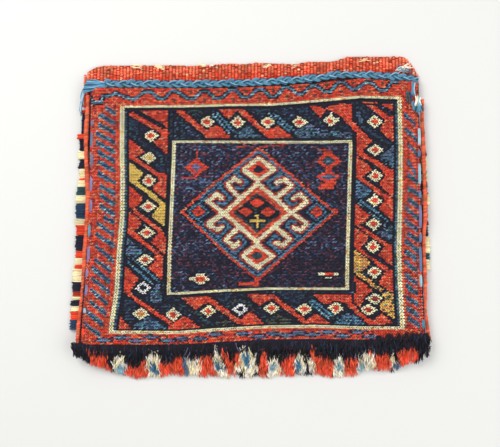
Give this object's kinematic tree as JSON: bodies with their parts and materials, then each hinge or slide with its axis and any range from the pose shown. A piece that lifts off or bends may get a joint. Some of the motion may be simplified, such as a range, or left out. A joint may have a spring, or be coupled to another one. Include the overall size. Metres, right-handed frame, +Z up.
{
  "type": "vanity bag",
  "caption": "Small flat hand-woven wool bag with a hooked-diamond front, plaited mouth cord, wrapped sides and a shaggy pile bottom edge.",
  "frame": {"origin": "centre of the underside of the whole bag as it lies on its back", "axes": "+X across the bag to the right seen from above, +Y towards the mouth, +Z up, out of the front panel"},
  "size_m": [0.3074, 0.276, 0.0155],
  "materials": {
    "navy_cloth": "weft-faced plain-weave wool, matt",
    "red_yarn": "wrapped wool yarn, matt with a faint sheen",
    "ivory_yarn": "wrapped undyed wool and cotton yarn, matt",
    "navy_yarn": "wrapped wool yarn, matt",
    "blue_yarn": "wrapped wool yarn, matt",
    "gold_yarn": "wrapped wool yarn, matt",
    "blue_cord": "plaited wool cord, slightly fuzzy",
    "light_blue_thread": "sewn wool thread",
    "red_cord": "yarn-wrapped side cord",
    "navy_overcast": "overcast wool yarn",
    "ivory_overcast": "overcast wool yarn",
    "red_overcast": "overcast wool yarn",
    "navy_pile": "knotted wool pile, cut and shaggy",
    "red_pile": "knotted wool pile, cut and shaggy",
    "ivory_pile": "knotted wool pile, cut and shaggy"
  },
  "bodies": {
    "root": {"woven_cloth": "navy_cloth", "left_side_band": "red_yarn", "right_side_band": "red_yarn", "top_band": "red_yarn", "bottom_band": "red_yarn", "medallion_outline": "red_yarn", "centre_diamond": "red_yarn", "outer_guard": "ivory_yarn", "inner_guard": "ivory_yarn", "hooked_figure": "ivory_yarn", "border_field": "navy_yarn", "centre_field": "navy_yarn", "medallion_ground": "navy_yarn", "medallion_band": "blue_yarn", "centre_flower": "gold_yarn", "mouth_cord": "blue_cord", "cord_left_end": "blue_cord", "cord_right_tail": "blue_cord", "left_side_cord": "red_cord", "right_side_cord": "red_cord", "left_seam_thread": "light_blue_thread", "right_seam_thread": "light_blue_thread", "left_overcast_01": "navy_overcast", "left_overcast_02": "ivory_overcast", "left_overcast_03": "red_overcast", "left_overcast_04": "navy_overcast", "left_overcast_05": "ivory_overcast", "left_overcast_06": "red_overcast", "left_overcast_07": "navy_overcast", "left_overcast_08": "ivory_overcast", "left_overcast_09": "red_overcast", "left_overcast_10": "navy_overcast", "right_overcast_01": "navy_overcast", "right_overcast_02": "ivory_overcast", "right_overcast_03": "red_overcast", "right_overcast_04": "navy_overcast", "pile_band": "navy_pile", "pile_tuft_01": "red_pile", "pile_tuft_02": "ivory_pile", "pile_tuft_03": "red_pile", "pile_tuft_04": "ivory_pile", "pile_tuft_05": "red_pile", "pile_tuft_06": "ivory_pile", "pile_tuft_07": "red_pile", "pile_tuft_08": "ivory_pile", "pile_tuft_09": "red_pile", "pile_tuft_10": "ivory_pile", "pile_tuft_11": "red_pile", "pile_tuft_12": "ivory_pile", "pile_tuft_13": "red_pile", "pile_tuft_14": "ivory_pile", "pile_tuft_15": "red_pile", "pile_tuft_16": "ivory_pile", "pile_tuft_17": "red_pile", "pile_tuft_18": "ivory_pile", "pile_tuft_19": "red_pile"}
  },
  "joints": []
}
